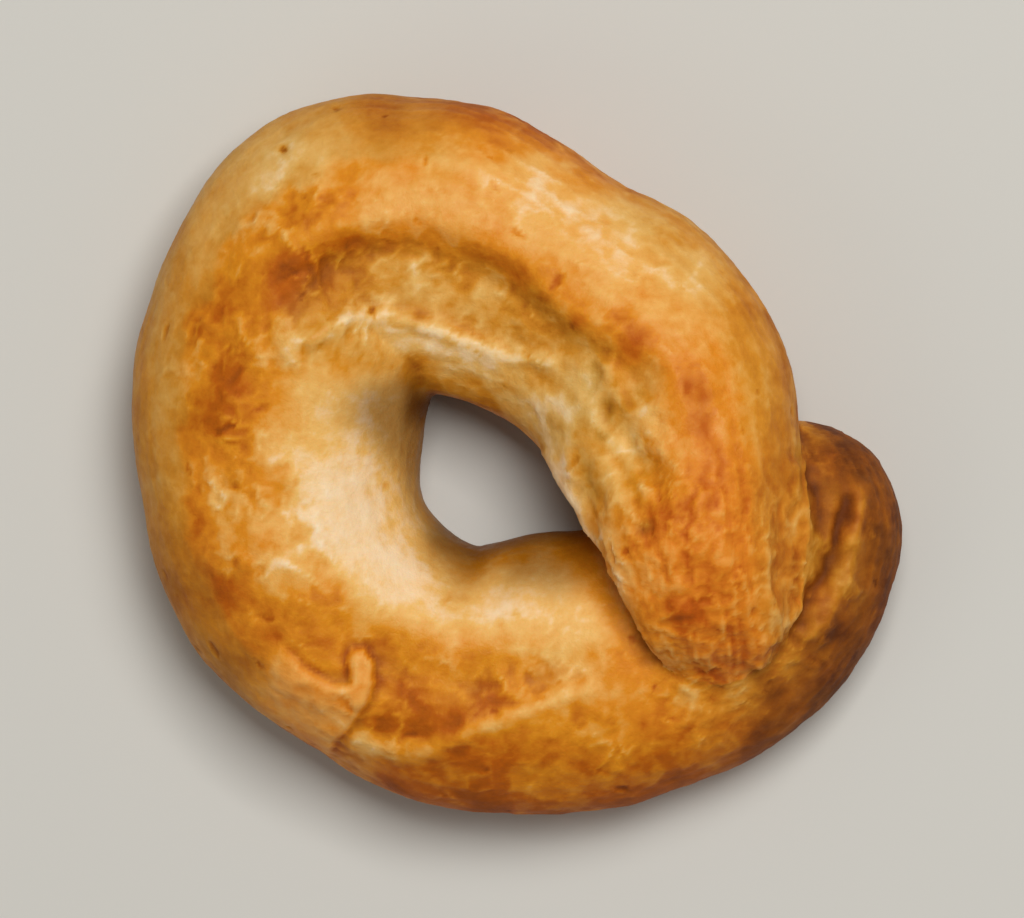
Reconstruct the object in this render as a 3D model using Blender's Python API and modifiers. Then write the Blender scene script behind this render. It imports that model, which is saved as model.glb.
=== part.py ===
"""Tarallo: a small ring cracker, one rope of dough whose two ends cross and are pressed together.

Metres, +Z up. The ring lies on its baked foot, on the plane z = 0, with the crossing at the right and front.
The rope starts at the tail, its lower end, runs clockwise as seen from above, climbs over itself and ends
in a pinched tip. Its large folds are part of its sections. The small marks of the crust are raised or sunk
in the finished skin, where the photograph shows them.
"""

import math

import bmesh
import bpy
import numpy as np
from mathutils import Vector, noise

MM = 0.001
NAME = "tarallo"

# The rope, station by station from the tail to the tip, in millimetres:
# x, y of its middle, lift of its underside over the tray, its width, and its height.
STATIONS = (
    (14.7, 1.4, 0.0, 10.2, 8.8),
    (14.1, -4.6, -0.7, 12.4, 10.0),
    (9.5, -9.8, -0.9, 13.6, 10.6),
    (2.2, -11.8, -0.9, 14.6, 11.6),
    (-4.4, -11.7, -0.9, 13.4, 12.0),
    (-10.6, -6.9, -0.9, 14.2, 12.6),
    (-12.6, 0.6, -0.9, 15.2, 12.8),
    (-10.8, 8.2, -0.9, 15.8, 13.0),
    (-5.6, 10.9, -0.9, 15.6, 13.0),
    (1.4, 8.4, -0.6, 14.0, 12.8),
    (7.3, 4.1, 0.9, 13.6, 12.4),
    (9.8, -1.8, 3.9, 10.6, 10.6),
    (10.7, -6.9, 6.9, 8.2, 7.0),
    (11.4, -11.3, 7.0, 6.2, 3.0),
)
TAIL_ROUND = 5.6 * MM  # length over which the tail rounds off
TIP_ROUND = 3.0 * MM  # the same for the pinched tip
LEAST_SIZE = 0.02  # share of its size that the first and the last section keep
FOOT_BLEND = 0.4 * MM  # how softly the sides turn into the flat foot
FOOT_SNAP = 0.12 * MM  # points this close to the tray lie on it

RINGS = 220  # sections along the rope
SIDES = 80  # points round a section
CROWDING = 0.35  # how far the sections crowd towards both ends, where the rope rounds off
FINE_STEPS = 40  # steps between stations in which the rope's length is measured
VOXEL = 0.36 * MM  # mesh size at which the crossing strands are fused
TRIANGLES = 11000

# The folds in the rope's own sections. Places along the rope are station numbers. Angles are in degrees round
# the rope, from its outer side at 0 over the top at 90 to the hole at 180.

# Far side: a step down from the crest to a sunk shelf, which rises again towards the hole
FOLD = 1.35 * MM
FOLD_STARTS = (6.8, 7.5)
FOLD_ENDS = (9.1, 10.9)
FOLD_CREST = 80  # angle at which the step begins in earnest
FOLD_ROUND = 5  # degrees before that over which the crest rounds into it
FOLD_STEP = 13  # degrees that the step takes
FOLD_SWING = 9  # degrees by which the step swings towards the hole
SWING_PLACE = (9.4, 0.4)  # middle and width of that swing
SHELF_RISES = ((112, 140, 0.75), (140, 170, 0.25))  # from, to, and the share of the depth that comes back

# Inner side of the strand that climbs to the crossing: one broad dent
HOLLOW = 1.2 * MM
HOLLOW_PLACE = (10.7, 0.5)
HOLLOW_ANGLE = (116, 24)

# Same strand, nearer to the hole: a shoulder that keeps it level almost to its edge, and a bulge in the hole
SHOULDER = 0.6 * MM
SHOULDER_PLACE = (9.6, 10.8)
SHOULDER_ANGLE = (146, 22)
BULGE = 0.78 * MM
BULGE_PLACE = (10.9, 0.6)
BULGE_ANGLE = (176, 28)

# Near side: a shallow groove along the crest
GROOVE = 0.5 * MM
GROOVE_PLACE = (3.1, 4.5, 0.5)  # start, end and fade
GROOVE_ANGLE = (92, 15)

# The uneven surface of hand-rolled dough: size of the lumps and how far they stand out
LUMPS = ((7.5 * MM, 0.42 * MM), (3.2 * MM, 0.16 * MM))
LUMP_ORIGIN = Vector((3.7, 1.9, 8.2))

# The photograph's view, which leans off the vertical. The marks below stand where it shows them: x, y in
# millimetres about the middle of the outline, true at the height where the outline is widest.
VIEW_LEAN = 8  # degrees
VIEW_TURN = 38  # degrees from +X towards +Y of the side it leans to
SEEN_HEIGHT = 6.0
UPPER_SIDE = (0.1, 0.6)  # how far the skin must face up for a mark to begin, and to have its full height

# Where the end is pressed into the strand below: x, y and reach
SEALS = ((10.7, -12.1, 2.7), (14.9, -4.4, 2.5), (14.6, -6.6, 2.2), (14.3, -8.8, 2.3))
SEAL_HEIGHT = 4 * MM  # only the upper side is pressed
SEAL_ROUNDS = 27

# The smeared flake on the near side: its hooked free edge, and the side where it grows out of the crust
FLAKE_EDGE = (
    (-12.8, -9.8),
    (-11.2, -11.2),
    (-9.8, -12.1),
    (-8.8, -12.2),
    (-9.0, -11.1),
    (-8.7, -10.4),
    (-7.9, -10.3),
    (-7.4, -11.1),
    (-7.3, -12.2),
    (-7.7, -13.3),
    (-8.4, -14.4),
    (-9.4, -15.5),
)
FLAKE_ROOT = ((-10.5, -19.0), (-18.0, -14.0))
FLAKE = 0.5  # its thickness, in millimetres
FLAKE_EDGE_STEP = 0.9  # how far in from the free edge it has that thickness
FLAKE_TAPER = 4.0  # how far in from the free edge it has thinned out
FLAKE_GROWTH = 3.0  # the same from its root

# Ridges and creases drawn out along a line: half width and height in millimetres, and the line.
# First the rim beside the flake and the ridge of the sunk shelf, then three folds of the wrinkled hollow,
# three along the end, three creases of the tail and the three folds beside them.
LINES = (
    (0.5, 0.20, ((-8.4, -15.3), (-6.1, -15.8), (-4.4, -15.7), (-2.9, -14.9), (-1.2, -14.2), (3.8, -12.4))),
    (0.6, 0.30, ((-11.0, 5.6), (-9.2, 6.6), (-7.0, 6.9), (-4.6, 6.4), (-2.6, 5.6), (-0.6, 4.9), (2.0, 4.6))),
    (0.4, 0.18, ((4.6, 4.6), (5.2, 3.0), (5.9, 2.1), (7.4, 2.2))),
    (0.4, 0.18, ((3.5, 2.4), (4.5, 0.9), (5.5, 0.1), (6.3, -1.1), (6.8, -2.3))),
    (0.4, 0.18, ((4.6, -0.6), (5.3, -1.8), (5.6, -3.0))),
    (0.4, 0.18, ((9.9, -2.1), (9.6, -3.5), (9.7, -4.9))),
    (0.4, 0.18, ((10.0, -2.1), (10.6, -3.9), (10.7, -5.9))),
    (0.4, 0.18, ((8.2, -5.2), (8.0, -6.6), (8.5, -8.4))),
    (0.5, -0.12, ((13.7, -2.9), (13.8, -5.4), (13.6, -7.8))),
    (0.5, -0.26, ((15.1, -1.2), (15.7, -2.4), (15.8, -4.0))),
    (0.5, -0.30, ((17.3, -2.6), (16.9, -4.1), (16.7, -5.1), (16.2, -6.4), (15.4, -7.4), (14.5, -9.4))),
    (0.6, 0.35, ((14.5, -1.0), (15.0, -3.5), (14.9, -5.6), (14.7, -7.4), (14.1, -8.9))),
    (0.6, 0.35, ((18.0, -2.2), (17.5, -4.7), (17.1, -6.6), (16.4, -8.0), (15.6, -9.3))),
    (0.6, 0.35, ((13.3, -7.8), (13.2, -9.4), (12.8, -10.5))),
)

# Ovals: x, y, half length, half width, turn from +X in degrees, and height.
# The dents and the swelling of the wrinkled hollow, and a small flake on the left.
OVALS = (
    (6.8, 3.8, 1.5, 1.25, 60, -0.25),
    (3.9, 3.7, 1.1, 0.65, 80, -0.15),
    (4.7, 2.1, 0.75, 0.45, 90, -0.12),
    (3.7, -1.8, 2.1, 0.8, 106, -0.34),
    (6.7, -4.0, 0.7, 0.6, 20, -0.12),
    (7.1, 0.7, 1.8, 1.0, 140, 0.3),
    (-12.1, 6.0, 1.6, 0.65, 105, 0.22),
)
OVAL_FADE = (0.15, 1.2)  # from the full height to none, where 1 is the oval's edge


def smooth_step(value, low, high):
    """0 below low, 1 above high, and an even curve between them."""
    share = np.clip((value - low) / (high - low), 0.0, 1.0)
    return share * share * (3.0 - 2.0 * share)


def band(value, start, end, blend):
    """1 between start and end, fading to 0 over blend on both sides."""
    return smooth_step(value, start - blend, start) * (1.0 - smooth_step(value, end, end + blend))


def bump(value, middle, width):
    """A rounded ridge, 1 at its middle and close to 0 two widths away."""
    return np.exp(-(((value - middle) / width) ** 2))


def along_stations(at):
    """The station values at the places at, from 0 to the last station's number, on a natural cubic spline."""
    values = np.array(STATIONS) * MM
    inner = len(values) - 2
    system = 4 * np.eye(inner) + np.eye(inner, k=1) + np.eye(inner, k=-1)
    bend = np.zeros_like(values)
    bend[1:-1] = np.linalg.solve(system, values[2:] - 2 * values[1:-1] + values[:-2])
    first = np.clip(np.floor(at).astype(int), 0, inner)
    t = (at - first)[:, None]
    s = 1.0 - t
    line = s * values[first] + t * values[first + 1]
    return line + (s**3 - s) * bend[first] + (t**3 - t) * bend[first + 1]


def rounded_end(distance, reach):
    """How much of its full size a section has at this distance from an end that rounds off over reach."""
    share = np.clip(1.0 - distance / reach, 0.0, 1.0)
    return np.sqrt(1.0 - share**2)


def fold(station, around):
    """The fold on the far side: a step down from the crest to a sunk shelf, which rises again at the hole."""
    crest = FOLD_CREST + FOLD_SWING * bump(station, *SWING_PLACE)
    shelf = smooth_step(around, crest - FOLD_ROUND, crest + FOLD_STEP)
    for start, end, share in SHELF_RISES:
        shelf -= share * smooth_step(around, start, end)
    return -FOLD * shelf * smooth_step(station, *FOLD_STARTS) * (1 - smooth_step(station, *FOLD_ENDS))


def hollow(station, around):
    """The wrinkled dent on the inner side of the strand that climbs to the crossing."""
    return -HOLLOW * bump(station, *HOLLOW_PLACE) * bump(around, *HOLLOW_ANGLE)


def shoulder(station, around):
    """The fuller inner side of the strand that climbs to the crossing, with its bulge in the hole."""
    fuller = SHOULDER * smooth_step(station, *SHOULDER_PLACE) * bump(around, *SHOULDER_ANGLE)
    return fuller + BULGE * bump(station, *BULGE_PLACE) * bump(around, *BULGE_ANGLE)


def groove(station, around):
    """The shallow groove along the near side of the crest."""
    return -GROOVE * band(station, *GROOVE_PLACE) * bump(around, *GROOVE_ANGLE)


def lumps(point):
    """How far the uneven surface stands out at a point."""
    return sum(
        height * noise.noise(Vector(point) / size + LUMP_ORIGIN * (1 + i))
        for i, (size, height) in enumerate(LUMPS)
    )


def above_tray(height):
    """Height over the tray after the soft dough has settled on it."""
    share = np.clip(0.5 + 0.5 * height / FOOT_BLEND, 0.0, 1.0)
    return height * share + FOOT_BLEND * share * (1.0 - share)


def rope_points():
    """The rope's surface, as an array of RINGS sections of SIDES points."""
    fine = np.linspace(0, len(STATIONS) - 1, FINE_STEPS * len(STATIONS))
    steps = np.linalg.norm(np.diff(along_stations(fine)[:, :3], axis=0), axis=1)
    travelled = np.concatenate(([0.0], np.cumsum(steps)))
    even = np.linspace(0, 1, RINGS)
    crowded = 0.5 - 0.5 * np.cos(math.pi * even)
    distance = travelled[-1] * (CROWDING * crowded + (1 - CROWDING) * even)
    station = np.interp(distance, travelled, fine)
    x, y, lift, width, height = along_stations(station).T
    size = rounded_end(distance, TAIL_ROUND) * rounded_end(travelled[-1] - distance, TIP_ROUND)
    size = np.maximum(size, LEAST_SIZE)
    middle = np.stack((x, y, lift + height / 2), axis=1)
    forward = np.gradient(middle, axis=0)
    forward /= np.linalg.norm(forward, axis=1)[:, None]
    outward = np.stack((-forward[:, 1], forward[:, 0], np.zeros(RINGS)), axis=1)
    outward /= np.linalg.norm(outward, axis=1)[:, None]
    upward = np.cross(outward, forward)
    upward *= np.sign(upward[:, 2:])
    around = np.linspace(0, 360, SIDES, endpoint=False)
    turn = np.radians(around)
    station, around = np.meshgrid(station, around, indexing="ij")
    relief = sum(mark(station, around) for mark in (fold, hollow, shoulder, groove))
    points = np.zeros((RINGS, SIDES, 3))
    for i in range(RINGS):
        half_width = size[i] * (width[i] / 2 + relief[i])
        half_height = size[i] * (height[i] / 2 + relief[i])
        across = outward[i] * (half_width * np.cos(turn))[:, None]
        points[i] = middle[i] + across + upward[i] * (half_height * np.sin(turn))[:, None]
    return points


def rope_mesh(points):
    """A closed mesh over the sections, its crossing strands still passing through each other."""
    shape = bmesh.new()
    rings = [[shape.verts.new(point) for point in section] for section in points]
    for ring, following in zip(rings, rings[1:]):
        for i in range(SIDES):
            j = (i + 1) % SIDES
            shape.faces.new((ring[i], ring[j], following[j], following[i]))
    shape.faces.new(reversed(rings[0]))
    shape.faces.new(rings[-1])
    bmesh.ops.recalc_face_normals(shape, faces=shape.faces)
    shape.normal_update()
    for vertex in shape.verts:
        vertex.co += vertex.normal * lumps(vertex.co)
    for vertex in shape.verts:
        vertex.co.z = above_tray(vertex.co.z)
    mesh = bpy.data.meshes.new(NAME)
    shape.to_mesh(mesh)
    shape.free()
    return mesh


def evaluated(piece):
    """The mesh of an object with its modifiers applied; the object itself goes."""
    graph = bpy.context.evaluated_depsgraph_get()
    mesh = bpy.data.meshes.new_from_object(piece.evaluated_get(graph))
    bpy.data.objects.remove(piece)
    return mesh


def fused(rope):
    """One closed skin round the rope, with the crossing strands grown together."""
    remesh = rope.modifiers.new("fuse", "REMESH")
    remesh.mode = "VOXEL"
    remesh.voxel_size = VOXEL
    ease = rope.modifiers.new("ease", "SMOOTH")
    ease.factor = 0.5
    ease.iterations = 2
    return evaluated(rope)


def thinned(skin):
    """The same skin with fewer triangles, most of them where it is rough."""
    thin = skin.modifiers.new("thin", "DECIMATE")
    thin.ratio = min(1.0, TRIANGLES / (2 * len(skin.data.polygons)))
    return evaluated(skin)


def seen(points):
    """x, y of points as the leaning view shows them, in millimetres."""
    spots = points / MM
    turn = math.radians(VIEW_TURN)
    rise = (spots[:, 2:] - SEEN_HEIGHT) * math.tan(math.radians(VIEW_LEAN))
    return spots[:, :2] - rise * (math.cos(turn), math.sin(turn))


def from_line(places, line):
    """Distance of x, y places from a line of straight stretches."""
    corners = np.array(line)
    nearest = np.full(len(places), np.inf)
    for start, end in zip(corners, corners[1:]):
        run = end - start
        share = np.clip((places - start) @ run / (run @ run), 0.0, 1.0)
        gap = np.linalg.norm(places - start - share[:, None] * run, axis=1)
        nearest = np.minimum(nearest, gap)
    return nearest


def inside(places, outline):
    """Which x, y places lie inside a closed outline."""
    x, y = places.T
    within = np.zeros(len(places), dtype=bool)
    corners = np.array(outline)
    for (x0, y0), (x1, y1) in zip(corners, np.roll(corners, -1, axis=0)):
        crosses = (y0 > y) != (y1 > y)
        within ^= crosses & (x < x0 + (y - y0) * (x1 - x0) / (y1 - y0 + 1e-9))
    return within


def smeared_flake(places):
    """Height of the flake: full along its free edge, and fading into the crust behind it."""
    edge = from_line(places, FLAKE_EDGE + FLAKE_ROOT[:1])
    root = from_line(places, (FLAKE_ROOT[-1], FLAKE_EDGE[0]))
    layer = inside(places, FLAKE_EDGE + FLAKE_ROOT) * smooth_step(root, 0.0, FLAKE_GROWTH)
    layer = layer * smooth_step(edge, 0.0, FLAKE_EDGE_STEP)
    return FLAKE * layer * (1 - smooth_step(edge, FLAKE_EDGE_STEP, FLAKE_TAPER))


def oval(places, x, y, length, width, turn):
    """Distance of x, y places from the middle of an oval, 1 on its edge."""
    angle = math.radians(turn)
    out = places - (x, y)
    along = out @ (math.cos(angle), math.sin(angle)) / length
    across = out @ (-math.sin(angle), math.cos(angle)) / width
    return np.hypot(along, across)


def crust_marks(places):
    """Height of all small marks at x, y places, in millimetres."""
    height = smeared_flake(places)
    for half_width, rise, line in LINES:
        height += rise * bump(from_line(places, line), 0.0, half_width)
    for *shape, rise in OVALS:
        height += rise * (1 - smooth_step(oval(places, *shape), *OVAL_FADE))
    return height


def mark_crust(mesh):
    """Presses the end to the strand below it, and raises or sinks the marks on the upper side."""
    shape = bmesh.new()
    shape.from_mesh(mesh)
    places = seen(np.array([vertex.co for vertex in shape.verts]))
    sealed = np.any([np.linalg.norm(places - (x, y), axis=1) < reach for x, y, reach in SEALS], axis=0)
    pressed = [vertex for vertex, near in zip(shape.verts, sealed) if near and vertex.co.z > SEAL_HEIGHT]
    for _ in range(SEAL_ROUNDS):
        bmesh.ops.smooth_vert(
            shape, verts=pressed, factor=0.5, use_axis_x=True, use_axis_y=True, use_axis_z=True
        )
    shape.normal_update()
    height = crust_marks(seen(np.array([vertex.co for vertex in shape.verts])))
    for vertex, rise in zip(shape.verts, height):
        vertex.co += vertex.normal * (rise * MM * smooth_step(vertex.normal.z, *UPPER_SIDE))
    shape.to_mesh(mesh)
    shape.free()


def set_down(mesh):
    """Moves the mesh so that it is centred over the origin and stands with a flat foot on z = 0."""
    points = np.array([vertex.co for vertex in mesh.vertices])
    centre = (points.min(axis=0) + points.max(axis=0)) / 2
    points -= (centre[0], centre[1], 0.0)
    points[points[:, 2] < FOOT_SNAP, 2] = 0.0
    mesh.vertices.foreach_set("co", points.ravel())
    mesh.update()


def baked_dough():
    """Golden, half-matt crust."""
    material = bpy.data.materials.new("baked_dough")
    material.use_nodes = True
    shader = material.node_tree.nodes["Principled BSDF"]
    shader.inputs["Base Color"].default_value = (0.56, 0.26, 0.07, 1.0)
    shader.inputs["Roughness"].default_value = 0.5
    shader.inputs["Metallic"].default_value = 0.0
    return material


def main():
    for thing in list(bpy.data.objects):
        bpy.data.objects.remove(thing)
    collection = bpy.data.collections.new(NAME)
    bpy.context.scene.collection.children.link(collection)

    def placed(name, mesh):
        piece = bpy.data.objects.new(name, mesh)
        collection.objects.link(piece)
        return piece

    skin = fused(placed("rope", rope_mesh(rope_points())))
    mark_crust(skin)
    mesh = thinned(placed("skin", skin))
    set_down(mesh)
    mesh.materials.append(baked_dough())
    mesh.shade_smooth()
    placed(NAME, mesh)


main()
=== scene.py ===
"""Looks of the tarallo: its crust, and the table, light and camera that show it.

Metres, +Z up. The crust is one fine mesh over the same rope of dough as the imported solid. Every point
knows its place on the rope, and its relief and browning follow from that place.
"""

import math

import bpy
import numpy as np
from mathutils import Matrix, Vector, kdtree, noise

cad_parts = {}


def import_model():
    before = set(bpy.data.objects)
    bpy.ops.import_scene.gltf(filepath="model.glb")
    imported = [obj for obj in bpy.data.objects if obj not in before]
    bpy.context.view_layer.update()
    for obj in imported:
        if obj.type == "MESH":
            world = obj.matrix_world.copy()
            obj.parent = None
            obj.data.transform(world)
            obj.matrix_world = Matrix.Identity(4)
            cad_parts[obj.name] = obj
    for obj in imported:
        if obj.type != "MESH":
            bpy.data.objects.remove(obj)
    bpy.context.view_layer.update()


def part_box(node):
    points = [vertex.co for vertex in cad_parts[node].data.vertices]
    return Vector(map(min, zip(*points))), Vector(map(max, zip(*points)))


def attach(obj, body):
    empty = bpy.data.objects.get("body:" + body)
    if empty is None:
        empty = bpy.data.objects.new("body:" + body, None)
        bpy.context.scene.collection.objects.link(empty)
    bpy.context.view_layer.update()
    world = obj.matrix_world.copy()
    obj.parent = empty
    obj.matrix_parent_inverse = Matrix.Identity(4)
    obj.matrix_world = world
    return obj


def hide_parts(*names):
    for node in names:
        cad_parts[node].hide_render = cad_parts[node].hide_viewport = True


MM = 0.001
NODE = "tarallo"
SLOT = "baked_dough"

# The camera's view: a few degrees off straight down
CAMERA_DISTANCE = 0.7
CAMERA_TILT = 8  # degrees off the vertical
CAMERA_TURN = 38  # degrees from +X towards +Y of the side it leans to
VIEW_WIDTH = 0.0535  # what the frame takes in at the tarallo, in metres

# The table top and the light that falls on it
TABLE_WIDTH = 3.0  # metres
TABLE_COLOUR = (0.65, 0.66, 0.67, 1.0)
KEY_COLOUR = (1.0, 0.96, 0.87)
FILL_COLOUR = (1.0, 0.92, 0.8)
SKY_COLOUR = (1.0, 0.94, 0.82, 1.0)
SKY_STRENGTH = 0.18

# The rope, station by station from the tail to the tip, in millimetres: x, y of its middle, lift of its
# underside over the tray, its width, and its height.
STATIONS = (
    (14.7, 1.4, 0.0, 10.2, 8.8),
    (14.1, -4.6, -0.7, 12.4, 10.0),
    (9.5, -9.8, -0.9, 13.6, 10.6),
    (2.2, -11.8, -0.9, 14.6, 11.6),
    (-4.4, -11.7, -0.9, 13.4, 12.0),
    (-10.6, -6.9, -0.9, 14.2, 12.6),
    (-12.6, 0.6, -0.9, 15.2, 12.8),
    (-10.8, 8.2, -0.9, 15.8, 13.0),
    (-5.6, 10.9, -0.9, 15.6, 13.0),
    (1.4, 8.4, -0.6, 14.0, 12.8),
    (7.3, 4.1, 0.9, 13.6, 12.4),
    (9.8, -1.8, 3.9, 10.6, 10.6),
    (10.7, -6.9, 6.9, 8.2, 7.0),
    (11.4, -11.3, 7.0, 6.2, 3.0),
)
TAIL_ROUND = 5.6 * MM  # length over which the tail rounds off
TIP_ROUND = 3.0 * MM  # the same for the pinched tip
LEAST_SIZE = 0.02  # share of its size that an end section keeps
FOOT_BLEND = 0.4 * MM  # how softly the sides turn into the foot

RINGS = 520  # sections along the rope
SIDES = 180  # points round a section
CROWDING = 0.35  # how far the sections crowd towards both ends
FINE_STEPS = 40  # steps between stations in which the rope's length is measured
VOXEL = 0.216 * MM  # mesh size of the crust
ROPE_RADIUS = 6.8  # mean radius of the rope, in millimetres, for marks that follow it

# The folds in the rope's own sections. Places along the rope are station numbers. Angles are in degrees
# round the rope, from its outer side at 0 over the top at 90 to the hole at 180.

# Far side: a step down from the crest to a sunk shelf
FOLD = 1.35 * MM
FOLD_STARTS = (6.8, 7.5)
FOLD_ENDS = (9.1, 10.9)
FOLD_CREST = 80  # angle at which the step begins
FOLD_ROUND = 5  # degrees before that over which the crest rounds into it
FOLD_STEP = 13  # degrees that the step takes
FOLD_SWING = 9  # degrees by which the step swings towards the hole
SWING_PLACE = (9.4, 0.4)  # middle and width of that swing
SHELF_RISES = ((112, 140, 0.75), (140, 170, 0.25))  # from, to, and the share of the depth that comes back

# Inner side of the strand that climbs to the crossing: one broad dent
HOLLOW = 1.2 * MM
HOLLOW_PLACE = (10.7, 0.5)
HOLLOW_ANGLE = (116, 24)

# Same strand, nearer to the hole: a shoulder that keeps it level, and a bulge in the hole
SHOULDER = 0.6 * MM
SHOULDER_PLACE = (9.6, 10.8)
SHOULDER_ANGLE = (146, 22)
BULGE = 0.78 * MM
BULGE_PLACE = (10.9, 0.6)
BULGE_ANGLE = (176, 28)

# Near side: a shallow groove along the crest
GROOVE = 0.5 * MM
GROOVE_PLACE = (3.1, 4.5, 0.5)  # start, end and fade
GROOVE_ANGLE = (92, 15)

# The uneven surface: size of the lumps and how far they stand out
LUMPS = ((7.5 * MM, 0.42 * MM), (3.2 * MM, 0.16 * MM))
LUMP_ORIGIN = Vector((3.7, 1.9, 8.2))

# Parts of the surface that look alike: from, to and fade along the stations, and the same round the rope
FUNNEL = ((2.4, 6.6, 0.5), (110, 236, 16))  # smooth pale dough round the hole
SHELF = ((6.9, 10.2, 0.4), (96, 160, 12))  # sunk shelf of the far side
ROLL = ((8.2, 10.8, 0.8), (15, 80, 14))  # smooth outer roll beside it
SMOOTH_SHADED_SIDE = ((4.8, 7.9, 0.5), (-50, 50, 6))  # smooth, evenly coloured outer side on the left, dulled by painted shade
FLANK = ((9.6, 13.0, 0.8), (-40, 32, 30))  # outer side of the climbing strand
GLOW = ((10.3, 13.0, 0.6), (64, 104, 22))  # its orange top
NEAR_WALL = ((2.8, 3.1, 0.5), (142, 250, 24))  # hole's wall beside the crossing, where shade is painted
NEAR_DEEP = ((2.8, 4.6, 0.5), (164, 250, 18))  # deepest part of the wall there, with the darkest painted shade
CREST = (48, 112, 14)  # round the rope alone
VEINED_PLACE, VEINED_ANGLE = (10.6, 0.65), (124, 26)  # wrinkled hollow: middle and width of each
END_STARTS = (10.6, 11.8)  # upper end: stations between which it begins
TAIL_ENDS = (1.7, 2.4)  # lower end: stations between which it ends
TOP_SLOPES = (0.0, 0.4)  # upward share of the normal between which the upper side begins
FOOT_HEIGHTS = (0.2 * MM, 1.6 * MM)  # heights between which the smooth foot ends
UPPER_STRAND = 9  # first station of the strand that crosses over
LOWER_STRAND = 5  # last station of the strand that it crosses

# Shade of the hole's wall, which begins lower at two corners: middle, width, degrees
WALL_ANGLE, WALL_END, WALL_FADE = 178, 250, 34
WALL_CORNERS = ((6.33, 0.42, 42), (3.9, 0.7, 26))
WALL_SHADE = 0.64
LIGHT_WALL = (7.6, 9.0, 0.9)  # lit far wall: stations between which the shade goes, and how much of it
CORNER_PLACE, CORNER_ANGLE = (6.4, 0.5), (156, 250, 18)  # deep shade in the corner at the upper left
NEAR_SHADE = 0.8
LESS_SHADED_LEFT_WALL = (5.3, 0.5, 0.3)  # left wall with less painted shade: middle, width, and how much of the shade goes
SHADE_ROUNDS = 16  # how often the shade is eased

# Marks on the upper side as the camera sees them: x, y in millimetres about the middle of the outline
SEEN_HEIGHT = 6.0  # height at which the outline is widest, where x, y hold
SEALS = ((10.7, -12.1, 2.7), (14.9, -4.4, 2.5), (14.6, -6.6, 2.2), (14.3, -8.8, 2.3))  # x, y and reach
SEAL_HEIGHTS = (3.0, 6.0)  # heights between which the pressing of the end sets in
SEAL_ROUNDS = 158  # how often the pressed places are eased
FINE_ROUNDS, WIDE_ROUNDS = 4, 47  # the same for the surroundings that small and large cavities lie below
FLAP_EDGE = (
    (-12.8, -9.8), (-11.2, -11.2), (-9.8, -12.1), (-8.8, -12.2), (-9.0, -11.1), (-8.7, -10.4),
    (-7.9, -10.3), (-7.4, -11.1), (-7.3, -12.2), (-7.7, -13.3), (-8.4, -14.4), (-9.4, -15.5),
)
FLAP_ROOT = ((-10.5, -19.0), (-18.0, -14.0))
RIM_LINE = (
    (-8.4, -15.3), (-6.1, -15.8), (-4.4, -15.7), (-2.9, -14.9),
    (-1.2, -14.2), (0.2, -13.8), (3.8, -12.4),
)
SHELF_RIDGE = ((-11.0, 5.6), (-9.2, 6.6), (-7.0, 6.9), (-4.6, 6.4), (-2.6, 5.6), (-0.6, 4.9), (2.0, 4.6))
TAIL_CREASES = (  # depth of each, and its line
    (0.12, ((13.7, -2.9), (13.8, -5.4), (13.6, -7.8))),
    (0.26, ((15.1, -1.2), (15.7, -2.4), (15.8, -4.0))),
    (0.36, ((17.3, -2.6), (16.9, -4.1), (16.7, -5.1), (16.2, -6.4),
        (15.4, -7.4), (15.0, -8.4), (14.5, -9.4))),
)
TAIL_FOLDS = (
    ((14.5, -1.0), (15.0, -3.5), (14.9, -5.6), (14.7, -7.4), (14.1, -8.9)),
    ((18.0, -2.2), (17.5, -4.7), (17.1, -6.6), (16.4, -8.0), (15.6, -9.3)),
    ((13.3, -7.8), (13.2, -9.4), (12.8, -10.5)),
)
# Line of the painted shadow that the upper end casts on the strand below
UNDER_END = ((3.2, -5.4), (4.2, -6.9), (5.1, -8.4), (6.1, -9.9), (7.6, -11.6))
SOFT_FOLDS = (
    ((4.6, 4.6), (5.2, 3.0), (5.9, 2.1), (7.4, 2.2)),
    ((3.5, 2.4), (4.5, 0.9), (5.5, 0.1), (6.3, -1.1), (6.8, -2.3)),
    ((4.6, -0.6), (5.3, -1.8), (5.6, -3.0)),
    ((9.9, -2.1), (9.6, -3.5), (9.7, -4.9)),
    ((10.0, -2.1), (10.6, -3.9), (10.7, -5.9)),
    ((8.2, -5.2), (8.0, -6.6), (8.5, -8.4)),
)

# Dents of the wrinkled hollow: x, y, half length, half width, turn from +X in degrees, depth, browning
DENTS = (
    (6.8, 3.8, 1.5, 1.25, 60, 0.28, -0.16),
    (3.9, 3.7, 1.1, 0.65, 80, 0.16, -0.02),
    (4.7, 2.1, 0.75, 0.45, 90, 0.16, 0.04),
    (3.7, -1.8, 2.1, 0.8, 106, 0.36, 0.14),
    (4.5, 0.7, 0.6, 0.4, 0, 0.10, 0.02),
    (6.7, -4.0, 0.7, 0.6, 20, 0.14, 0.06),
)
# Raised ovals, of the same first five measures: a swelling in the hollow and a flake on the left
SWELLING = (7.1, 0.7, 1.8, 1.0, 140)
LENS = (-12.1, 6.0, 1.6, 0.65, 105)
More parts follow.
